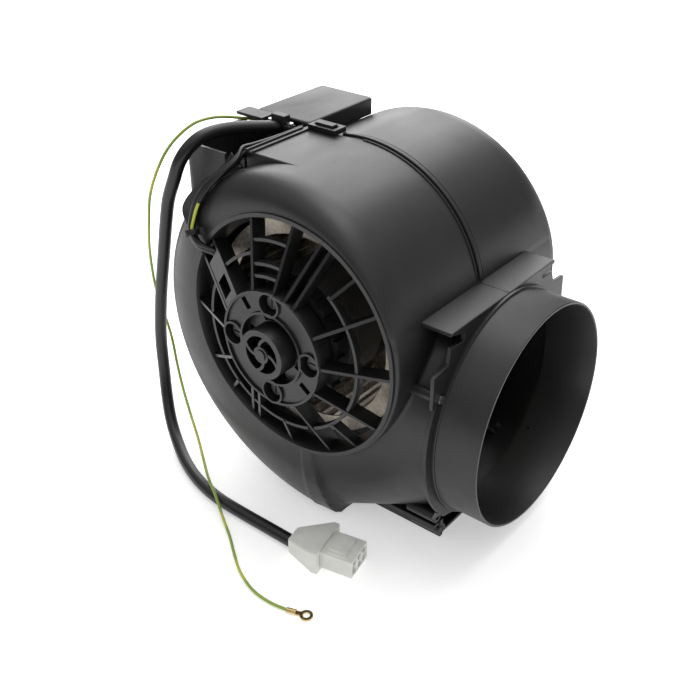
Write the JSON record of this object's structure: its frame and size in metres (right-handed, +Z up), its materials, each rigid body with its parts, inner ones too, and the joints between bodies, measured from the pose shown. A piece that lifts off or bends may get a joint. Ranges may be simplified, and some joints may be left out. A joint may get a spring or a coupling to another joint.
{
  "type": "centrifugal blower",
  "caption": "Double-inlet centrifugal blower: scroll casing with a round duct spigot, ribbed motor guard, caged wheel, wiring box and trailing leads.",
  "frame": {"origin": "centre of the round outlet spigot's open end", "axes": "+X is the way the air leaves the spigot, +Z is up as the blower stands on its foot ribs, and the wheel's axis is parallel to Y with the motor guard on the -Y side"},
  "size_m": [0.281, 0.2554, 0.2391],
  "materials": {
    "casing_black": "satin moulded black plastic with faint mould lines",
    "guard_black": "satin moulded black plastic",
    "motor_paint": "dark satin paint over pressed sheet",
    "lamination": "stacked dark steel sheets",
    "winding": "varnished copper wire, bundled",
    "bronze": "oil-filled sintered bronze",
    "bush_rubber": "matt black rubber",
    "zinc_screw": "bright zinc plate",
    "shaft_steel": "ground steel",
    "galvanised": "dull zinc-coated sheet, brownish grey",
    "hub_alloy": "die cast",
    "set_screw": "black oxide",
    "capacitor_case": "pale plastic can",
    "terminal_plastic": "natural nylon",
    "lead_sheath": "black flexible sheath, satin",
    "earth_sheath": "thin insulation, green and yellow",
    "tie_nylon": "black nylon",
    "nylon_white": "natural white nylon, slightly translucent",
    "contact_brass": "bright brass"
  },
  "bodies": {
    "casing": {"casing_front": "casing_black", "casing_rear": "casing_black", "outlet_collar": "casing_black", "motor_grille": "guard_black", "inlet_guard": "guard_black", "motor_cover_front": "motor_paint", "motor_cover_rear": "motor_paint", "stator_core": "lamination", "stator_windings": "winding", "bearing_front": "bronze", "bearing_rear": "bronze", "motor_bushes": "bush_rubber", "motor_screws": "zinc_screw", "wiring_box": "casing_black", "box_lid": "casing_black", "run_capacitor": "capacitor_case", "terminal_block": "terminal_plastic", "cable_clamp": "casing_black", "clamp_screws": "zinc_screw", "seam_latch": "casing_black", "latch_hook": "casing_black", "casing_screws": "zinc_screw", "motor_lead": "lead_sheath", "motor_earth_lead": "earth_sheath", "cable_tie": "tie_nylon", "mains_cable": "lead_sheath", "connector_hood": "nylon_white", "connector_plug": "nylon_white", "connector_sockets": "contact_brass", "earth_wire": "earth_sheath", "ring_terminal": "contact_brass"},
    "wheel": {"rotor_core": "lamination", "motor_shaft": "shaft_steel", "wheel_disc": "galvanised", "wheel_hub": "hub_alloy", "hub_set_screw": "set_screw", "wheel_blades_front": "galvanised", "wheel_blades_rear": "galvanised", "wheel_ring_front": "galvanised", "wheel_ring_rear": "galvanised"}
  },
  "joints": [
    {"name": "wheel_spin", "type": "hinge", "parent": "casing", "child": "wheel", "pos_m": [-0.128, 0, 0.051], "axis": [0, 1, 0], "continuous": true}
  ]
}
